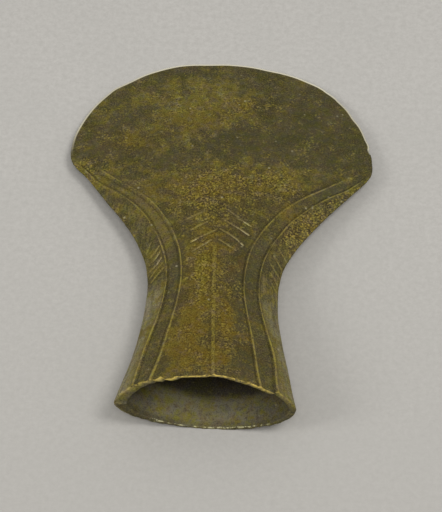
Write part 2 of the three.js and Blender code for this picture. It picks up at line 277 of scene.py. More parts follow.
def curve_through(pairs):
    """A smooth curve through the pairs that never overshoots them."""
    x, y = np.array(pairs, dtype=float).T
    slope = np.diff(y) / np.diff(x)
    product = slope[:-1] * slope[1:]
    total = np.where(slope[:-1] + slope[1:] == 0, 1, slope[:-1] + slope[1:])
    inside = np.where(product > 0, 2 * product / total, 0)
    tangent = np.concatenate([slope[:1], inside, slope[-1:]])

    def value(at):
        at = np.clip(at, x[0], x[-1])
        i = np.clip(np.searchsorted(x, at) - 1, 0, len(x) - 2)
        span = x[i + 1] - x[i]
        t = (at - x[i]) / span
        rise = t * t * (3 - 2 * t)
        level = y[i] * (1 - rise) + y[i + 1] * rise
        return level + tangent[i] * t * (1 - t) ** 2 * span + tangent[i + 1] * t * t * (t - 1) * span

    return value


def soft_step(value, low, high):
    """0 up to low, 1 from high on, and a soft step between."""
    t = np.clip((value - low) / (high - low), 0, 1)
    return t * t * (3 - 2 * t)


def mix(first, second, share):
    """Goes from the first to the second as the share goes from 0 to 1."""
    return first + (second - first) * share


left_width_at = curve_through(LEFT_OUTLINE)
right_width_at = curve_through(RIGHT_OUTLINE)
middle_depth_at = curve_through(MIDDLE_DEPTH)
socket_width_at = curve_through(SOCKET_OUTLINE)
inner_line_at = curve_through(INNER_LINE)
outer_line_at = curve_through(OUTER_LINE)


def full(part):
    """A sine or cosine pushed outwards, so that the ellipse gets full shoulders."""
    return np.sign(part) * np.abs(part) ** (2 / EDGE_POWER)


def edge_point(across):
    """x and y of the cutting edge, for across from -1 at the left corner to 1 at the right one."""
    angle = mix(EDGE_START, EDGE_END, (across + 1) / 2)
    x = EDGE_RADIUS_ACROSS * full(np.cos(angle))
    y = EDGE_RADIUS_ALONG * full(np.sin(angle))
    return (
        EDGE_CENTRE_X + x * math.cos(EDGE_LEAN) - y * math.sin(EDGE_LEAN),
        EDGE_CENTRE_Y + x * math.sin(EDGE_LEAN) + y * math.cos(EDGE_LEAN),
    )


def place_in_plan(across, along):
    """x and y of a point, for across from -1 to 1 and along from 0 at the mouth to 1 at the edge."""
    bow = along ** BOW_POWER
    edge_x, edge_y = edge_point(across)
    share = (1 - bow) * across + bow * edge_x / TIP_HALF_WIDTH
    side_y = along * TIP_Y
    left = left_width_at(side_y)
    right = right_width_at(side_y)
    x = (right - left) / 2 + (left + right) / 2 * share
    return x, side_y + bow * (edge_y - TIP_Y)


def plain_depth(across, along):
    """Half the thickness of the casting without its raised work."""
    middle = middle_depth_at(place_in_plan(0 * along, along)[1])
    power = mix(SECTION_POWER_AT_MOUTH, SECTION_POWER_AT_EDGE, along**2)
    fullness = mix(SECTION_FULLNESS_AT_MOUTH, 1, soft_step(along * TIP_Y, 0, SECTION_FULL_Y))
    return SEAM_DEPTH + (middle - SEAM_DEPTH) * (1 - np.abs(across) ** power) ** fullness


rows = np.concatenate(
    [np.linspace(start, end, count, endpoint=False) for start, end, count in ROW_SPANS] + [[1]]
)[:, None]
half_width = (left_width_at(rows * TIP_Y) + right_width_at(rows * TIP_Y)) / 2
line_share = curve_through(LINE_HALF_WIDTH)(rows * TIP_Y) / half_width
rib_share = RIB_HALF_WIDTH / half_width
outer_share = outer_line_at(rows)
inner_share = inner_line_at(rows)
stops = [
    np.ones_like(rows),
    outer_share + line_share,
    outer_share - line_share,
    inner_share + line_share,
    inner_share - line_share,
    rib_share,
    np.zeros_like(rows),
]


def spread(stretch, count):
    """Shares from 0 to 1 across a stretch, closer together beside the border lines."""
    even = np.arange(count) / count
    if stretch == SIDE_FACE_STRETCH:
        return even**SIDE_FACE_CROWDING
    if stretch == BAND_STRETCH:
        return (1 - np.cos(np.pi * even)) / 2
    if stretch == FACE_STRETCH:
        return even**FACE_CROWDING
    return even


half = np.concatenate(
    [mix(stops[i], stops[i + 1], spread(i, count)) for i, count in enumerate(COLUMNS)], axis=1
)
across = np.concatenate([-half, 0 * rows, half[:, ::-1]], axis=1)
along = rows + 0 * across
plan_x, plan_y = place_in_plan(across, along)
depth = plain_depth(across, along)
middle_x = place_in_plan(0 * rows, rows)[0]
rib_shift = curve_through(RIB_PLACE)(rows * TIP_Y) - middle_x
rib_shift = rib_shift * (1 - soft_step(rows * TIP_Y, *RIB_SHIFT_FADE))
plan_x = plan_x + rib_shift * (1 - np.clip(np.abs(across) / inner_share, 0, 1) ** 2)
edge_gap = np.hypot(edge_point(across)[0] - plan_x, edge_point(across)[1] - plan_y)

# Height of the raised work, worn unevenly along its length
inner_shown = 1 - soft_step(along, *INNER_LINE_FADE)
outer_shown = 1 - soft_step(along, *OUTER_LINE_FADE)
from_outer = (np.abs(across) - outer_share) / line_share
from_inner = (np.abs(across) - inner_share) / line_share


def ridge(distance):
    """1 at no distance, falling smoothly to 0 at a distance of 1."""
    return np.clip(1 - distance**2, 0, 1) ** 2


uneven = 0.85 + 0.1 * np.sin(plan_y / 2.7 + 1.3 * np.sign(across)) + 0.05 * np.sin(plan_y / 1.1 + across)
outer_ridge = ridge(from_outer) * uneven * outer_shown
inner_ridge = ridge(from_inner) * uneven * inner_shown
band = soft_step(-from_outer, *BAND_FADE) * soft_step(from_inner, *BAND_FADE) * inner_shown
outer_groove = ridge((from_outer + GROOVE_OFFSET) / GROOVE_HALF_WIDTH) * outer_shown
inner_groove = ridge((from_inner + GROOVE_OFFSET * np.sign(across)) / GROOVE_HALF_WIDTH) * inner_shown
rib_shown = 1 - soft_step(plan_y, RIB_TOP_Y - RIB_FADE, RIB_TOP_Y)
rib_groove = ridge((across / rib_share + RIB_GROOVE_OFFSET) / RIB_GROOVE_HALF_WIDTH) * rib_shown
groove = outer_groove + INNER_GROOVE_SHARE * inner_groove + RIB_GROOVE_SHARE * rib_groove
rib = ridge(across / rib_share) * rib_shown * uneven
standing = LINE_HEIGHT * (outer_ridge + inner_ridge) + RIB_HEIGHT * rib
raised = standing - BAND_SINK * band - GROOVE_DEPTH * groove
worn_back = soft_step(plan_y, *BACK_WEAR_FADE)

# Lip of the mouth: the upper one is set back and oblique, and both are uneven. The upper one has a
# notch between two small teeth on the left.
UPPER_LIP = [
    (-27, -0.3), (-22, 1.0), (-15, 1.7), (-9, 1.7), (-2, 1.9), (4, 2.15), (8, 1.35), (12, 0.9), (15, 0.35),
    (19, 0.1), (22, 0.4), (24, 0), (27, -0.6),
]
LOWER_LIP = [
    (-27, -0.5), (-20, -0.1), (-8, 0), (2, 0.05), (12, -0.3), (20, -0.9), (24, -1.1), (26, -0.9), (27, -0.2),
]
LIP_REACH = 14
LIP_TEETH = [  # x, half width, and how far the upper lip stands out there, or stands back if negative
    (-14.8, 0.8, 0.4), (-13.1, 0.5, -0.5), (-11.6, 0.9, 0.75), (-10.2, 0.8, 0.4), (-8.8, 0.6, -0.1),
    (-2.0, 3.0, 0.15), (19.5, 1.0, 0.35),
]
upper_lip_at = curve_through(UPPER_LIP)
lower_lip_at = curve_through(LOWER_LIP)


def lip_shift(x, face):
    """How far the lip of the upper face (1) or the lower face (-1) is set back at x."""
    uneven = 0.08 * np.sin(x * 0.9 + face) + 0.06 * np.sin(x * 2.3 + 2 * face)
    if face < 0:
        return lower_lip_at(x) + uneven
    shift = upper_lip_at(x) + uneven
    for tooth_x, tooth_width, tooth_length in LIP_TEETH:
        shift = shift - tooth_length * np.exp(-(((x - tooth_x) / tooth_width) ** 2))
    return shift


fade_from_lip = (1 - np.clip(plan_y / LIP_REACH, 0, 1)) ** 2

# The edge is worn a little unevenly and has a nick near its right corner. Both corners are rounded.
EDGE_WEAR = [  # x, y, reach, and how far the edge stands out there
    (-48.5, 109, 5, 0.25), (-37.5, 132, 2.5, 0.3), (-32.5, 136.3, 4, -0.35), (-17, 144.5, 5, 0.25),
    (-6, 145.6, 4.5, -0.35), (13.5, 143.8, 3.5, -0.3), (24, 140.3, 4, 0.2), (31, 136, 4, 0.5),
    (36, 132, 1.8, 0.4), (41.8, 121.5, 3, -0.45), (47.3, 109.3, 1.2, 0.3), (48, 98.5, 6.5, 0.85),
    (47.7, 107, 0.8, -0.3), (47.9, 104.6, 1.5, 0.25), (47.2, 110, 1.5, 0.25),
]
CORNER_WEAR = [(-1.0, 7.5, 1.8), (1.0, 3.5, 0.3)]  # side, reach and depth
WORN_INWARDS = 0.94  # the way in which a corner is worn back: mostly inwards, a little upwards
WORN_UPWARDS = 0.34
outward_x = plan_x - EDGE_CENTRE_X
outward_y = plan_y - EDGE_CENTRE_Y
outward = np.maximum(np.hypot(outward_x, outward_y), 1)
wear = 0 * plan_x
for wear_x, wear_y, reach, amount in EDGE_WEAR:
    distance = np.hypot(plan_x - wear_x, plan_y - wear_y)
    wear = wear + amount * np.exp(-((distance / reach) ** 2))
corner_shift_x = 0 * plan_x
corner_shift_y = 0 * plan_x
for side, reach, worn in CORNER_WEAR:
    corner_x, corner_y = edge_point(side)
    distance = np.hypot(plan_x - corner_x, plan_y - corner_y)
    pull = worn * np.clip(1 - distance / reach, 0, 1) ** 2
    corner_shift_x -= side * pull * WORN_INWARDS
    corner_shift_y += pull * WORN_UPWARDS
plan_x = plan_x + wear * outward_x / outward + corner_shift_x
plan_y = plan_y + wear * outward_y / outward + corner_shift_y

face_count = along.shape[1]


def face_points(side):
    """Points of one face, row by row, from the left outline to the right one."""
    y = plan_y + lip_shift(plan_x, side) * fade_from_lip
    height = raised if side > 0 else raised * worn_back
    return np.stack([plan_x, y, side * (depth + height)], axis=-1)


def with_seams(front, back, flare):
    """Rings that go over the front, round the right seam, back under and round the left seam."""
    right = (front[:, -1:] + back[:, -1:]) / 2 + np.array([flare, 0, 0])
    left = (front[:, :1] + back[:, :1]) / 2 - np.array([flare, 0, 0])
    return np.concatenate([front, right, back[:, ::-1], left], axis=1)


front = face_points(1.0)
back = face_points(-1.0)
outside = with_seams(front, back, SEAM_ROUNDING)[::-1]  # from the edge to the mouth

# The hollow left by the core, which sat a little to the right. The upper wall thins out at the lip.
UPPER_LIP_THINNING = 0.6
LOWER_LIP_THINNING = 0.4
HOLLOW_OFFSET = 0.7
HOLLOW_SEAM_ROUNDING = 0.05
SOCKET_CROWDING = 1.8
LIP_ROUNDING = 0.25
socket_y = SOCKET_END_Y * np.linspace(0, 1, SOCKET_ROWS + 1)[:, None] ** SOCKET_CROWDING
socket_across = across[:1] + 0 * socket_y
socket_half = socket_width_at(socket_y)
socket_x = socket_half * socket_across
socket_wall = mix(WALL_AT_MOUTH, WALL_AT_END, socket_y / SOCKET_END_Y)
socket_middle = middle_depth_at(socket_y) - socket_wall
socket_bulge = (1 - np.abs(socket_across) ** SECTION_POWER_AT_MOUTH) ** SECTION_FULLNESS_AT_MOUTH
socket_rise = mix(SOCKET_CORNER_DEPTH, socket_middle, socket_bulge)
socket_fade = (1 - np.clip(socket_y / LIP_REACH, 0, 1)) ** 2


def hollow_points(side):
    """Points of one wall of the hollow, row by row, from the mouth inwards."""
    outer_x = socket_x * LEFT_OUTLINE[0][1] / SOCKET_OUTLINE[0][1]
    y = socket_y + lip_shift(outer_x, side) * socket_fade
    thinning = UPPER_LIP_THINNING if side > 0 else LOWER_LIP_THINNING
    thinned = thinning * socket_bulge * socket_fade
    return np.stack([socket_x + HOLLOW_OFFSET * socket_fade, y, side * (socket_rise + thinned)], axis=-1)


inside = with_seams(hollow_points(1.0), hollow_points(-1.0), HOLLOW_SEAM_ROUNDING)

# The lip between the outside and the hollow is rounded by wear
lip_t = (np.arange(1, LIP_ROWS) / LIP_ROWS)[:, None, None]
lip = mix(outside[-1:], inside[:1], lip_t)
lip[..., 1] -= LIP_ROUNDING * np.sin(np.pi * lip_t[..., 0])

rings = np.concatenate([outside, lip, inside])
ring_size = rings.shape[1]
points = rings.reshape(-1, 3)
ring_start = np.arange(len(rings) - 1)[:, None] * ring_size
next_start = ring_start + ring_size
column = np.arange(ring_size)[None, :]
after = (column + 1) % ring_size
quads = np.stack(
    [ring_start + column, ring_start + after, next_start + after, next_start + column], axis=-1
).reshape(-1, 4)

# The cutting edge is closed by a rounded strip, and the end of the hollow by a flat one
edge_front = np.arange(face_count)
edge_back = 2 * face_count - np.arange(face_count)
edge_middle = np.concatenate([[ring_size - 1], len(points) + np.arange(face_count - 2), [face_count]])
edge_line = (rings[0, edge_front[1:-1]] + rings[0, edge_back[1:-1]]) / 2
away = edge_line - np.array([EDGE_CENTRE_X, EDGE_CENTRE_Y, 0])
edge_line = edge_line + EDGE_ROUNDING * away / np.linalg.norm(away, axis=1, keepdims=True)
points = np.concatenate([points, edge_line])
closing = []
for j in range(face_count - 1):
    closing.append((edge_front[j], edge_middle[j], edge_middle[j + 1], edge_front[j + 1]))
    closing.append((edge_middle[j], edge_back[j], edge_back[j + 1], edge_middle[j + 1]))
last = (len(rings) - 1) * ring_size
end_front = last + edge_front
end_back = last + edge_back
for j in range(face_count - 1):
    closing.append((end_front[j], end_front[j + 1], end_back[j + 1], end_back[j]))
ends = [(last + ring_size - 1, end_front[0], end_back[0]), (last + face_count, end_back[-1], end_front[-1])]

faces = quads.tolist() + [list(map(int, face)) for face in closing + ends]
casting_mesh = bpy.data.meshes.new("axe_head_casting")
casting_mesh.from_pydata((points * MM).tolist(), [], faces)
casting_mesh.update()

# What the finish needs to know about each place: how exposed it is to wear, and how it has corroded.
# A patch is given by x, y, half width, half height and strength, and a soft step by the x or y where
# it starts and ends, all in millimetres.
PATCHES = {
    "gold": [
        (-11.6, 120.7, 13, 11, 0.9), (2, 128, 9, 8, 0.8), (-20.7, 133.7, 6, 4, 0.5),
        (-32, 107.5, 7, 3.4, 0.45), (-23.6, 104.3, 4.7, 3.8, 0.3), (4.7, 88.4, 14, 8.4, 0.65),
        (25.5, 89.9, 9.4, 5.9, 0.7), (-7.8, 83.4, 7, 9, 0.6), (-22, 85, 7.5, 6.7, 0.6),
        (-3.7, 56, 3.8, 5.9, 0.6), (-8, 20, 6, 14, 0.7), (-3, 11, 9, 5, 0.4), (-40, 88, 5.6, 3.4, 1.0),
        (27.5, 69.9, 7.8, 5.9, 0.5), (-46, 96, 4, 4, 1.0),
        (0, 68, 9, 6, 0.3), (-4.5, 50, 4.5, 9, 1.2), (-4, 32, 4.5, 8, 0.7), (5, 26, 3.5, 15, 0.7),
        (-11, 14, 4, 7, 0.4),
    ],
    "grey": [
        (29.8, 116.6, 15.6, 16.8, 1.0), (7.2, 105.3, 12, 7.6, 0.9), (-43, 102.4, 5, 5.9, 0.9),
        (-17.8, 140.7, 12.5, 2.5, 0.8), (-16.6, 96.8, 7.8, 3.4, 0.9), (38, 100, 7.8, 5, 0.7),
        (9.5, 50, 3, 17, 1.0), (-10.5, 48, 2.2, 18, 0.9), (9, 28, 3, 14, 0.7), (-12.5, 8, 2.5, 9, 0.6),
        (-36, 113, 5, 6, 0.9), (27, 70, 8, 7, 0.6), (34, 87, 8, 4.5, 0.9), (-31, 101, 7, 3, 0.6),
        (12, 7, 5, 6, 0.9), (3, 109, 9, 5, 0.3),
    ],
    "warm": [
        (4, 40, 5, 18, 1.2), (6, 20, 7, 12, 1.0), (4, 8, 16, 6, 0.8), (25, 66, 6, 6, 0.8),
        (0, 84, 24, 11, 0.7), (0, 60, 12, 14, 0.8), (-1, 22, 15, 26, 1.0), (28, 72, 9, 8, 0.9),
        (-32, 106, 9, 5, 0.9), (-10, 116, 11, 6, 0.4), (6, 124, 6, 4, 0.7),
    ],
    "lime": [
        (29.5, 82, 3.2, 2.6, 1), (25, 79.5, 2.5, 1.5, 0.8), (35, 86, 2, 1.5, 0.8), (4, 128, 2, 2, 0.7),
        (0, 76, 5, 3, 0.3),
    ],
    "yellow": [
        (-3.8, 53, 3.2, 5, 1.0), (-3.5, 43, 3, 7, 0.8), (-1.5, 30, 3, 7, 0.5), (-8, 8, 5, 3, 0.5),
        (2, 13, 3, 3, 0.4), (-13, 127, 8, 6, 0.5), (-21, 134, 6, 4, 0.5), (-46, 92, 5, 4, 0.8),
        (14, 74, 3, 3, 0.6), (-14.5, 68, 3, 8, 0.4),
    ],
}
GRANULAR_PATCHES = [
    (4.7, 87.5, 13, 8, 1.0), (21, 88, 7, 6, 0.9), (-7.8, 83, 8, 9, 0.8), (0, 72, 10, 8, 0.7),
    (-4.5, 49, 5, 11, 1.0), (4, 42, 6, 10, 0.5), (1, 20, 10, 18, 0.6), (-16, 130, 10, 7, 0.5),
    (27.5, 70, 8, 7, 1.0), (-43, 93, 6, 5, 1.2), (-12, 115, 12, 8, 0.5), (-34, 106, 6, 4, 0.5),
    (6, 124, 8, 6, 0.8),
]
# Painted light on the lower wall of the hollow, where the upper lip's shadow falls
HOLLOW_PAINTED_LIGHT_PATCHES = [(-7, 9.6, 6.5, 3, 1.0)]
FAR_FROM_EDGE = 40
BRIGHT_LIP_WIDTH = 0.2
BACK_TURN_X = 3  # the patches of the back are those of the front, turned over and moved by these
BACK_MOVE_Y = 7
nowhere = 0 * along
on_right = plan_x > 0


def patchwork(patches, x, y):
    """How strong the patches are at each place, from 0 to 1."""
    total = 0 * x
    for patch_x, patch_y, half_wide, half_high, strength in patches:
        gap = ((x - patch_x) / half_wide) ** 2 + ((y - patch_y) / half_high) ** 2
        total = total + strength * np.exp(-gap)
    return np.clip(total, 0, 1)


def ring_of(front_values, back_values):
    """Values for whole rings: the front, the right seam, the back and the left seam."""
    return np.concatenate(
        [front_values, front_values[:, -1:], back_values[:, ::-1], front_values[:, :1]], axis=1
    )


def keep(name, front_values, back_values, lip_values=0, hollow_values=0):
    """Stores one number for each corner of the mesh, under a name that the finish reads."""
    on_outside = ring_of(front_values, back_values)[::-1]
    on_lip = np.broadcast_to(lip_values, (LIP_ROWS - 1, ring_size))
    in_hollow = np.broadcast_to(hollow_values, (SOCKET_ROWS + 1, ring_size))
    on_edge = on_outside[0, 1 : face_count - 1]
    values = np.concatenate([on_outside.ravel(), on_lip.ravel(), in_hollow.ravel(), on_edge])
    attribute = casting_mesh.attributes.new(name, "FLOAT", "POINT")
    attribute.data.foreach_set("value", values.astype(np.float32))


def keep_below(name, lip_values, hollow_values):
    """Stores numbers that are found only on the lower lip and on the lower wall of the hollow."""
    on_lip = ring_of(0 * lip_values, lip_values)
    keep(name, nowhere, nowhere, on_lip, ring_of(0 * hollow_values, hollow_values))


keep("rib", rib, rib)
keep("groove", np.clip(groove, 0, 1), np.clip(groove, 0, 1))
keep("band", band, band)
edge_gap = np.clip(edge_gap, 0, FAR_FROM_EDGE)
keep("to_edge", edge_gap, edge_gap, FAR_FROM_EDGE, FAR_FROM_EDGE)
keep("inside", nowhere, nowhere, 0.3, 1)

# The border lines are worn more towards the edge, and the left band has a pale stretch
right_wear = mix(1, 0.75, soft_step(plan_y, 22, 40))
left_wear = mix(1, 0.7, soft_step(plan_y, 45, 75))
crest = (outer_ridge + inner_ridge) * np.where(on_right, right_wear, left_wear)
keep("crest", crest, crest)
pale_band = band * soft_step(-plan_x, 11, 18) * soft_step(plan_y, 42, 56) * (1 - soft_step(plan_y, 76, 88))
keep("pale_band", pale_band, nowhere)

# A painted highlight on worn metal runs along the outer corner of the upper lip and along the inner corner
# of the lower one
thin_wall = (1 - across**8) * mix(1, 0.5, soft_step(plan_x, 16, 20))
thin_wall = thin_wall * mix(0.5, 1, soft_step(plan_x, -16, -12))
bright_lip = thin_wall * np.exp(-((rows * TIP_Y / BRIGHT_LIP_WIDTH) ** 2))
over_lip = lip_t[:, :, 0]
bright_over_lip = thin_wall[:1] * (1 - over_lip) ** 2.6
keep("lip", bright_lip, nowhere, ring_of(bright_over_lip, 0 * bright_over_lip))
mouth_x = plan_x[:1]
bright_below = soft_step(mouth_x, -21, -17) * (1 - soft_step(mouth_x, 18, 21))
first_row = (np.arange(SOCKET_ROWS + 1) == 0)[:, None]
keep_below("lower_lip", bright_below * over_lip**3, bright_below * first_row)
# Painted shade on the lower lip and the first rows of the hollow behind it, strongest on the left
lip_shade_share = 0.45 + 0.5 * (1 - soft_step(mouth_x, -12, -3)) + 0.25 * soft_step(mouth_x, 0, 6)
keep_below("dull", lip_shade_share + 0 * over_lip, lip_shade_share * (1 - soft_step(socket_y, 0.5, 3)))

# Painted shade darkens the hollow further in and in its two corners, and painted light brightens one place
# of its lower wall
right_corner_shade = 0.62 * soft_step(socket_x, 6, 20)
left_corner_shade = 0.5 * soft_step(-socket_x, 14, 21)
shade_from = mix(9.7, 8, soft_step(socket_x, -12, -2)) - 0.7 * soft_step(socket_x, 4, 12)
painted_hollow_shade = soft_step(socket_y, shade_from, shade_from + 3.5)
painted_hollow_shade = np.maximum(painted_hollow_shade, np.where(socket_x > 0, right_corner_shade, left_corner_shade))
keep("painted_hollow_shade", nowhere, nowhere, 0, ring_of(painted_hollow_shade, painted_hollow_shade))
hollow_painted_light = patchwork(HOLLOW_PAINTED_LIGHT_PATCHES, socket_x, socket_y)
keep_below("hollow_painted_light", nowhere[: LIP_ROWS - 1], hollow_painted_light)

# The cutting edge is whetted bright, with a painted glint on it, except towards its corners
bright_edge = mix(0.75, 1, soft_step(plan_x, -40, -20)) * (1 - 0.3 * soft_step(plan_x, 30, 40))
bright_left = soft_step(plan_y, 98, 116)
bright_right = soft_step(plan_y, 105, 108)
whetted_and_glint = bright_edge * mix(bright_left, bright_right, soft_step(plan_x, -10, 10))
keep("whetted_and_glint", whetted_and_glint, nowhere)

# The side faces are streaked, paler near the mouth and crusted on the right below the corner
side_face = soft_step(from_outer, 0.6, 1.6)
side_pale = side_face * mix(
    np.where(on_right, 1.85, 2.9),
    np.where(on_right, 0.1, 0),
    soft_step(plan_y, np.where(on_right, 26, 35), 48),
)
keep("side_pale", side_pale, side_pale)
streaked = side_face * mix(1, 0.35, soft_step(plan_y, 46, 60))
keep("streaked", streaked, streaked)
beside_line = ridge((from_outer - 1.6) / 2.2) * (1 - soft_step(plan_y, 26, 40))
keep("beside_line", beside_line, beside_line)
crusted_side = side_face * soft_step(plan_x, 12, 20) * soft_step(plan_y, 57, 66)
crusted_side = crusted_side * mix(0.75, 1, soft_step(plan_y, 60, 76))

# Patches of corrosion
back_x = BACK_TURN_X - plan_x
back_y = plan_y + BACK_MOVE_Y
for name, patches in PATCHES.items():
    keep(name, patchwork(patches, plan_x, plan_y), patchwork(patches, back_x, back_y))
granular = patchwork(GRANULAR_PATCHES, plan_x, plan_y) + crusted_side
keep("granular", granular, patchwork(GRANULAR_PATCHES, back_x, back_y))

# Dents and pits are shallower where the metal is thin
stout = soft_step(depth, 0.4, 1.6) * mix(0.2, 1, soft_step(rows * TIP_Y, 0, 4))
stout = stout * mix(0.4, 1, soft_step(1 - np.abs(across), 0.02, 0.15))
keep("stout", stout, stout, 0.1, 0.6)

casting = bpy.data.objects.new("axe_head_casting", casting_mesh)
bpy.context.scene.collection.objects.link(casting)

# Herringbone and side strokes
# Short slanting strokes that were cut in the mould, so they stand up from the casting: a worn
# herringbone above the rib on each face, and a row on each side face beside the waist.
STROKES = [  # from x, y to x, y, and how much of the height wear has left
    (-9.8, 69.7, -4.9, 73.2, 0.5), (-8.0, 65.1, -3.0, 69.0, 0.6), (-7.7, 59.7, -4.4, 62.2, 0.9),
    (-4.4, 62.2, -0.2, 65.4, 0.6), (-7.1, 55.6, -4.0, 58.2, 0.6), (-4.0, 58.2, -1.4, 60.8, 0.75),
    (-3.9, 75.8, -1.4, 77.7, 0.4), (3.4, 74.4, 7.0, 71.2, 0.5), (6.4, 70.9, 8.2, 69.9, 0.5),
    (8.2, 69.9, 10.7, 67.9, 0.8), (5.0, 67.9, 7.6, 66.0, 0.6), (7.6, 66.0, 10.2, 63.9, 0.85),
    (4.4, 63.4, 6.4, 61.6, 0.6), (6.4, 61.6, 8.6, 59.2, 0.85), (0.9, 61.0, 3.6, 58.9, 0.5),
    (3.6, 58.9, 6.4, 56.5, 0.6), (1.0, 65.9, 4.4, 63.4, 0.5), (1.4, 70.6, 5.0, 67.9, 0.45),
    (-20.3, 62.1, -21.6, 57.7, 0.35), (-17.7, 59.7, -18.6, 57.9, 0.6), (-18.6, 57.9, -20.0, 56.0, 0.4),
    (-17.3, 57.2, -18.5, 54.9, 0.7), (-18.5, 54.9, -20.2, 53.2, 0.45), (-16.7, 54.7, -18.0, 52.3, 0.75),
    (-18.0, 52.3, -19.9, 50.6, 0.5), (-16.0, 52.4, -19.6, 48.2, 0.4), (-15.5, 50.3, -19.2, 45.9, 0.5),
    (-15.2, 47.6, -18.6, 43.6, 0.3),
    (19.4, 61.3, 22.2, 57.1, 0.4), (18.2, 57.6, 20.9, 53.6, 0.4), (17.3, 54.0, 20.2, 50.2, 0.35),
    (17.2, 50.6, 19.9, 47.0, 0.35), (17.7, 47.2, 19.7, 43.7, 0.35),
]
STROKE_HEIGHT = 0.5
STROKE_HALF_WIDTH = 0.42
STROKE_PATCH = 1.6  # width of the places where a stroke is worn away
DENT_WIDTH = 14
GRAIN_WIDTH = 1.6
SMALLEST_PIT = 0.4
LARGEST_PIT = 1.1
RELIEF_INPUTS = [
    ("Geometry", "NodeSocketGeometry"), ("Strokes", "NodeSocketObject"),
    ("Stroke Height", "NodeSocketFloat"), ("Stroke Half Width", "NodeSocketFloat"),
    ("Dent Height", "NodeSocketFloat"), ("Grain Height", "NodeSocketFloat"),
    ("Pit Depth", "NodeSocketFloat"), ("Pits per Square Metre", "NodeSocketFloat"),
    ("Material", "NodeSocketMaterial"),
]

stroke_mesh = bpy.data.meshes.new("mould_strokes")
stroke_ends = [((s[0] * MM, s[1] * MM, 0), (s[2] * MM, s[3] * MM, 0)) for s in STROKES]
stroke_mesh.from_pydata(
    [end for pair in stroke_ends for end in pair], [(2 * i, 2 * i + 1) for i in range(len(STROKES))], []
)
left_by_wear = stroke_mesh.attributes.new("left_by_wear", "FLOAT", "EDGE")
left_by_wear.data.foreach_set("value", [s[4] for s in STROKES])
strokes = bpy.data.objects.new("mould_strokes", stroke_mesh)
bpy.context.scene.collection.objects.link(strokes)


def named(tree, name):
    """A number that was kept on the corners of the mesh or on the edges of the strokes."""
    return add_node(tree, "GeometryNodeInputNamedAttribute", {"Name": name}, data_type="FLOAT").outputs[0]


def stored(tree, geometry, name, value):
    """The geometry with one more named number on each of its points."""
    inputs = {"Geometry": geometry, "Name": name, "Value": value}
    made = add_node(tree, "GeometryNodeStoreNamedAttribute", inputs, data_type="FLOAT", domain="POINT")
    return made.outputs[0]


def noise_about_nought(tree, place, size, detail, height):
    """Noise that goes up and down by about half the height."""
    noise = speckle(tree, place, size, detail)
    return maths(tree, "MULTIPLY", maths(tree, "SUBTRACT", noise, 0.5), height)


relief = bpy.data.node_groups.new("mould_and_wear_relief", "GeometryNodeTree")
relief.interface.new_socket("Geometry", in_out="OUTPUT", socket_type="NodeSocketGeometry")
for name, kind in RELIEF_INPUTS:
    relief.interface.new_socket(name, in_out="INPUT", socket_type=kind)
given = add_node(relief, "NodeGroupInput").outputs
position = add_node(relief, "GeometryNodeInputPosition").outputs[0]
normal = add_node(relief, "GeometryNodeInputNormal").outputs[0]
apart = add_node(relief, "ShaderNodeSeparateXYZ", {0: position}).outputs
in_plan = add_node(relief, "ShaderNodeCombineXYZ", {0: apart[0], 1: apart[1]}).outputs[0]

# How near each point is to the next stroke, seen straight from above, and how worn that stroke is
lines = add_node(relief, "GeometryNodeObjectInfo", {"Object": given["Strokes"]}).outputs["Geometry"]
nearest = add_node(
    relief, "GeometryNodeProximity", {0: lines, "Sample Position": in_plan}, target_element="EDGES"
).outputs["Distance"]
which = add_node(
    relief, "GeometryNodeSampleNearest", {0: lines, "Sample Position": in_plan}, domain="EDGE"
).outputs[0]
left_here = add_node(
    relief,
    "GeometryNodeSampleIndex",
    {0: lines, "Value": named(relief, "left_by_wear"), "Index": which},
    data_type="FLOAT",
    domain="EDGE",
).outputs[0]
ratio = maths(relief, "DIVIDE", nearest, given["Stroke Half Width"])
crest_share = maths(relief, "SUBTRACT", 1, fade_between(relief, ratio, 0.3, 1))
# Where painted shadow lies along the foot of each stroke
near_foot = fade_between(relief, ratio, 0.9, 1.5)
past_foot = fade_between(relief, ratio, 1.5, 2.6)
stroke_shadow_share = maths(relief, "SUBTRACT", near_foot, past_foot)
patchy = fade_between(relief, speckle(relief, position, STROKE_PATCH, detail=1), 0.1, 0.42)
stroke_share = maths(relief, "MULTIPLY", maths(relief, "MULTIPLY", crest_share, left_here), patchy)
outside_only = maths(relief, "SUBTRACT", 1, fade_between(relief, named(relief, "inside"), 0.1, 0.4))
stroke_share = maths(relief, "MULTIPLY", stroke_share, outside_only)
stroke_shadow_share = maths(relief, "MULTIPLY", maths(relief, "MULTIPLY", stroke_shadow_share, left_here), outside_only)
stroke_rise = maths(relief, "MULTIPLY", stroke_share, given["Stroke Height"])

# Broad dents, fine grain and small pits, which all get shallower in thin metal
stout_here = named(relief, "stout")
dents = noise_about_nought(relief, position, DENT_WIDTH, 1, given["Dent Height"])
grain = noise_about_nought(relief, position, GRAIN_WIDTH, 3, given["Grain Height"])
pit_points = add_node(
    relief,
    "GeometryNodeDistributePointsOnFaces",
    {"Mesh": given["Geometry"], "Density": given["Pits per Square Metre"], "Seed": 7},
    distribute_method="RANDOM",
).outputs[0]
pit_gap = add_node(
    relief, "GeometryNodeProximity", {0: pit_points, "Sample Position": position}, target_element="POINTS"
).outputs["Distance"]
pit_index = add_node(
    relief, "GeometryNodeSampleNearest", {0: pit_points, "Sample Position": position}, domain="POINT"
).outputs[0]
pit_size = add_node(
    relief,
    "FunctionNodeRandomValue",
    {"Min": SMALLEST_PIT * MM, "Max": LARGEST_PIT * MM, "ID": pit_index, "Seed": 3},
    data_type="FLOAT",
)
pit_radius = next(s for s in pit_size.outputs if s.enabled and s.type == "VALUE")
pit_ratio = maths(relief, "DIVIDE", pit_gap, pit_radius)
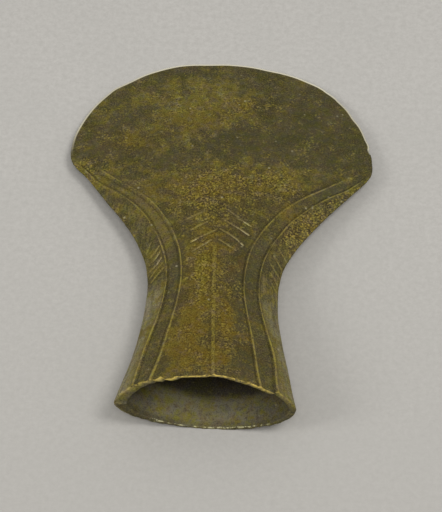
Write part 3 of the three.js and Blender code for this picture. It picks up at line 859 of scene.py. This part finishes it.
pit_here = maths(relief, "SUBTRACT", 1, fade_between(relief, pit_ratio, 0.3, 1))
pit_drop = maths(relief, "MULTIPLY", pit_here, given["Pit Depth"])
rise = maths(relief, "SUBTRACT", maths(relief, "ADD", dents, grain), pit_drop)
rise = maths(relief, "ADD", maths(relief, "MULTIPLY", rise, stout_here), stroke_rise)
move = add_node(relief, "ShaderNodeVectorMath", {0: normal, "Scale": rise}, operation="SCALE").outputs[0]

# The finish reads where the strokes are, and where it paints shadow along their feet
kept = stored(relief, given["Geometry"], "stroke", stroke_share)
kept = stored(relief, kept, "stroke_foot", stroke_shadow_share)
moved = add_node(relief, "GeometryNodeSetPosition", {"Geometry": kept, "Offset": move}).outputs[0]
smooth = add_node(relief, "GeometryNodeSetShadeSmooth", {0: moved}).outputs[0]
real = add_node(relief, "GeometryNodeRealizeInstances", {0: smooth}).outputs[0]
finished = add_node(
    relief, "GeometryNodeSetMaterial", {"Geometry": real, "Material": given["Material"]}
).outputs[0]
add_node(relief, "NodeGroupOutput", {0: finished})

# Patina
# Brown-olive corrosion over the whole casting, mottled at every scale, rubbed to dull gold on what
# stands out, greyer in the sunk bands and grey-green with yellow spots in the hollow.
DARK_OLIVE = (74, 70, 42)
PALE_OLIVE = (85, 77, 51)
GREEN_OLIVE = (71, 69, 36)
GREY_OLIVE = (90, 84, 60)
SIDE_GREY = (152, 147, 122)
LIGHT_STREAK = (146, 136, 76)
DARK_STREAK = (70, 66, 46)
SIDE_YELLOW = (126, 115, 52)
BAND_GREY = (81, 82, 58)
PALE_BAND = (116, 104, 60)
BLOOM_YELLOW = (113, 101, 41)
BLOOM_PALE = (124, 112, 62)
BROWN = (92, 70, 27)
ORANGE_BROWN = (108, 83, 12)
SULPHUR = (120, 108, 18)
LIGHT_GRAIN = (171, 151, 64)
DARK_GRAIN = (38, 28, 16)
LIGHT_CRUST = (128, 112, 52)
DARK_CRUST = (58, 48, 28)
GROOVE_PAINTED_SHADE = (46, 36, 20)
# painted shade in the grooves
STROKE_FOOT_PAINTED_SHADOW = (56, 47, 28)
# painted shadow at the feet of the strokes
RUBBED_LINE = (156, 139, 68)
RUBBED_RIB = (140, 124, 50)
WORN_STROKE = (142, 126, 74)
BRIGHT_STROKE = (194, 184, 140)
HOLLOW_GREY = (127, 123, 110)
HOLLOW_OLIVE = (125, 117, 81)
HOLLOW_YELLOW = (128, 117, 48)
HOLLOW_BROWN = (84, 78, 56)
HOLLOW_LIGHT = (138, 128, 78)
HOLLOW_DARK = (75, 70, 50)
HOLLOW_PAINTED_LIGHT = (160, 152, 118)
# painted shade deep in the hollow and in its corners
HOLLOW_PAINTED_SHADE = (48, 42, 44)
LIP_PAINTED_SHADE = (69, 64, 42)
GREEN_HUE = (90, 89, 34)
MAUVE_HUE = (92, 78, 58)
VIVID_HUE = (102, 90, 22)
DULL_HUE = (84, 80, 64)
LIGHT_DUST = (150, 138, 74)
DARK_DUST = (36, 32, 18)
WORN_LIP_HIGHLIGHT = (212, 186, 96)
WORN_LOWER_LIP_HIGHLIGHT = (206, 200, 156)
LIME_WHITE = (176, 168, 134)
WHETTED_EDGE_AND_GLINT = (236, 229, 204)
bronze, tree, shader, place = new_material("patinated_bronze")


def stored_number(name):
    return add_node(tree, "ShaderNodeAttribute", attribute_name=name).outputs["Fac"]


def both(first, second):
    return maths(tree, "MULTIPLY", first, second)


def less_where(share, amount):
    """1 where the share is 0, and less by the amount where it is 1."""
    return maths(tree, "MULTIPLY_ADD", share, -amount, 1)


def within(noise, low, high, push=None, amount=1):
    """Soft patches where the noise goes from low to high. A push by some amount makes more of them."""
    if push is not None:
        noise = maths(tree, "ADD", noise, both(push, amount))
    return fade_between(tree, noise, low, high)


def layer(tone, share, strength, colour, way="MIX"):
    """One more colour over the tone, where the share says."""
    return blend_colours(tree, both(share, strength), tone, paint(*colour), way)


gold = stored_number("gold")
grey = stored_number("grey")
granular = stored_number("granular")
warm = stored_number("warm")
yellow = stored_number("yellow")
broad = speckle(tree, place, 9, detail=3)
ragged = speckle(tree, place, 6.5, detail=7, roughness=0.7)
blotch = speckle(tree, place, 3.4, detail=5, roughness=0.65)
fine = speckle(tree, place, 1.5, detail=3, roughness=0.65)
grain = speckle(tree, place, 0.62, detail=2, roughness=0.6)
dust = speckle(tree, place, 0.4, detail=1)

# Smooth olive brown underneath, here greyer and there greener
tone = blend_colours(tree, within(broad, 0.38, 0.62), paint(*DARK_OLIVE), paint(*PALE_OLIVE))
tone = layer(tone, within(blotch, 0.46, 0.36), 0.65, GREEN_OLIVE)
tone = layer(tone, within(blotch, 0.55, 0.68), 0.5, GREY_OLIVE)

# Side faces and sunk bands have a tone of their own. The side faces are streaked along the piece.
along_piece = add_node(tree, "ShaderNodeMapping", {"Vector": place, "Scale": (1, 0.12, 1)}).outputs[0]
streak = speckle(tree, along_piece, 1.4, detail=3, roughness=0.6)
streaked = stored_number("streaked")
tone = layer(tone, stored_number("side_pale"), 0.38, SIDE_GREY)
tone = layer(tone, both(streaked, within(streak, 0.48, 0.6)), 0.6, LIGHT_STREAK)
tone = layer(tone, both(streaked, within(streak, 0.5, 0.38)), 0.45, DARK_STREAK)
tone = layer(tone, stored_number("beside_line"), 0.65, SIDE_YELLOW)
tone = layer(tone, stored_number("band"), 0.5, BAND_GREY)
tone = layer(tone, stored_number("pale_band"), 0.85, PALE_BAND)

# Ragged yellow bloom over it, and browner patches
zone = maths(tree, "SUBTRACT", both(gold, 0.17), both(grey, 0.12))
bloom = within(ragged, 0.47, 0.64, zone, 1)
tone = layer(tone, bloom, 0.95, BLOOM_YELLOW)
tone = layer(tone, within(blotch, 0.58, 0.66, zone, 0.6), 0.6, BLOOM_PALE)
tone = layer(tone, both(within(ragged, 0.66, 0.44, warm, 0.12), warm), 0.75, BROWN)
tone = layer(tone, both(bloom, warm), 0.8, ORANGE_BROWN)
tone = layer(tone, both(within(blotch, 0.45, 0.62, yellow, 0.12), yellow), 0.75, SULPHUR)

# Granular crust: light and dark grains, in ragged patches that fade into the smooth surface
crusted = both(within(blotch, 0.5, 0.63, granular, 0.16), less_where(stored_number("band"), 0.6))
lively = maths(tree, "MULTIPLY_ADD", crusted, maths(tree, "MULTIPLY_ADD", granular, 0.36, 0.3), 0.08)
lively = maths(tree, "MINIMUM", lively, 0.75)
tone = layer(tone, both(within(grain, 0.53, 0.63), lively), 1.1, LIGHT_GRAIN)
tone = layer(tone, both(within(grain, 0.48, 0.36), lively), 1, DARK_GRAIN)
tone = layer(tone, both(within(fine, 0.52, 0.66), lively), 0.6, LIGHT_CRUST)
tone = layer(tone, both(within(fine, 0.46, 0.34), lively), 0.6, DARK_CRUST)

# Raised work is rubbed paler along its crest. Painted shade darkens the grooves beside it, and painted
# shadow lies along the foot of each stroke
worn_here = within(fine, 0.28, 0.52)
tone = layer(tone, stored_number("groove"), 0.5, GROOVE_PAINTED_SHADE)
tone = layer(tone, stored_number("stroke_foot"), 0.6, STROKE_FOOT_PAINTED_SHADOW)
tone = layer(tone, both(within(stored_number("crest"), 0.35, 0.85), worn_here), 0.9, RUBBED_LINE)
rubbed_rib = both(within(stored_number("rib"), 0.2, 0.5), within(fine, 0.26, 0.46))
tone = layer(tone, both(rubbed_rib, within(grain, 0.36, 0.56)), 1, RUBBED_RIB)
stroke = stored_number("stroke")
tone = layer(tone, both(within(stroke, 0.08, 0.4), worn_here), 0.7, WORN_STROKE)
tone = layer(tone, both(within(stroke, 0.42, 0.8), worn_here), 0.85, BRIGHT_STROKE)

# The hollow is grey-green with yellow spots, with painted light on its lower wall and painted shade deeper
# in. The lower lip under it gets painted shade
hollow = blend_colours(tree, within(blotch, 0.35, 0.65), paint(*HOLLOW_GREY), paint(*HOLLOW_OLIVE))
hollow = layer(hollow, both(within(blotch, 0.48, 0.62), within(fine, 0.4, 0.55)), 0.85, HOLLOW_YELLOW)
hollow = layer(hollow, within(blotch, 0.45, 0.32), 0.35, HOLLOW_BROWN)
hollow = layer(hollow, within(fine, 0.52, 0.66), 0.5, HOLLOW_LIGHT)
hollow = layer(hollow, within(fine, 0.46, 0.32), 0.5, HOLLOW_DARK)
# Painted light in one place of the lower wall
hollow = layer(hollow, stored_number("hollow_painted_light"), 0.45, HOLLOW_PAINTED_LIGHT)
# Painted shade further in and in the corners of the hollow
hollow = layer(hollow, stored_number("painted_hollow_shade"), 0.82, HOLLOW_PAINTED_SHADE)
tone = blend_colours(tree, stored_number("inside"), tone, hollow)
# Painted shade on the lower lip
tone = layer(tone, stored_number("dull"), 0.7, LIP_PAINTED_SHADE)

# The hue goes from green to mauve and from vivid to dull in soft patches. The warm patches keep theirs.
hue = speckle(tree, place, 3, detail=2, roughness=0.6)
vivid = speckle(tree, place, 2.3, detail=4, roughness=0.65)
tone = layer(tone, both(within(hue, 0.5, 0.66), less_where(warm, 0.7)), 0.5, GREEN_HUE, "COLOR")
tone = layer(tone, within(hue, 0.48, 0.34), 0.5, MAUVE_HUE, "COLOR")
tone = layer(tone, within(vivid, 0.52, 0.64), 0.45, VIVID_HUE, "COLOR")
tone = layer(tone, both(within(vivid, 0.48, 0.36), less_where(warm, 0.8)), 0.5, DULL_HUE, "COLOR")

# Very fine light and dark dust lies on everything, and both lips carry a painted highlight on worn metal
# along one corner
dusty = both(less_where(grey, 0.75), less_where(stored_number("inside"), 0.35))
tone = layer(tone, both(within(dust, 0.5, 0.72), dusty), 0.3, LIGHT_DUST)
tone = layer(tone, both(within(dust, 0.5, 0.28), dusty), 0.55, DARK_DUST)
tone = layer(tone, both(stored_number("lip"), within(fine, 0.36, 0.54)), 0.95, WORN_LIP_HIGHLIGHT)
tone = layer(tone, both(stored_number("lower_lip"), within(fine, 0.47, 0.58)), 0.9, WORN_LOWER_LIP_HIGHLIGHT)

# A few pale specks of lime, and the whetted edge with its painted glint
dots = add_node(tree, "ShaderNodeTexVoronoi", {"Vector": place, "Scale": 1 / (1.8 * MM)})
chance = add_node(tree, "ShaderNodeSeparateColor", {0: dots.outputs["Color"]}).outputs[0]
chosen = within(chance, 0.97, 1, stored_number("lime"), 0.45)
tone = layer(tone, both(within(dots.outputs["Distance"], 0.3, 0.12), chosen), 0.6, LIME_WHITE)
edge_near = within(stored_number("to_edge"), 0.75, 0.35)
tone = layer(tone, both(edge_near, stored_number("whetted_and_glint")), 1, WHETTED_EDGE_AND_GLINT)
tree.links.new(tone, shader.inputs["Base Color"])
shader.inputs["Roughness"].default_value = 0.62
shader.inputs["Metallic"].default_value = 0.35
shader.inputs["Specular IOR Level"].default_value = 0.15
ripple = speckle(tree, place, 0.5, detail=4, roughness=0.7)
bump = add_node(tree, "ShaderNodeBump", {"Height": ripple, "Strength": 1, "Distance": 0.12 * MM})
tree.links.new(bump.outputs[0], shader.inputs["Normal"])

# The relief is worked into the mesh, which is then laid on the ground
relief_values = {
    "Strokes": strokes,
    "Stroke Height": STROKE_HEIGHT * MM,
    "Stroke Half Width": STROKE_HALF_WIDTH * MM,
    "Dent Height": 0.35 * MM,
    "Grain Height": 0.16 * MM,
    "Pit Depth": 0.12 * MM,
    "Pits per Square Metre": 26000.0,
    "Material": bronze,
}
modifier = casting.modifiers.new("relief", "NODES")
modifier.node_group = relief
for item in relief.interface.items_tree:
    if item.item_type == "SOCKET" and item.in_out == "INPUT" and item.name in relief_values:
        modifier[item.identifier] = relief_values[item.name]
bpy.context.view_layer.update()
worked = bpy.data.meshes.new_from_object(casting.evaluated_get(bpy.context.evaluated_depsgraph_get()))
casting.modifiers.remove(modifier)
casting.data = worked
bpy.data.objects.remove(strokes)
worked.transform(lying)
ground = np.empty(len(worked.vertices) * 3)
worked.vertices.foreach_get("co", ground)
ground = ground.reshape(-1, 3)
ground[:, 2] = np.maximum(ground[:, 2], 0)
worked.vertices.foreach_set("co", ground.ravel())
worked.update()

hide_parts("axe_head")
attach(casting, "root")
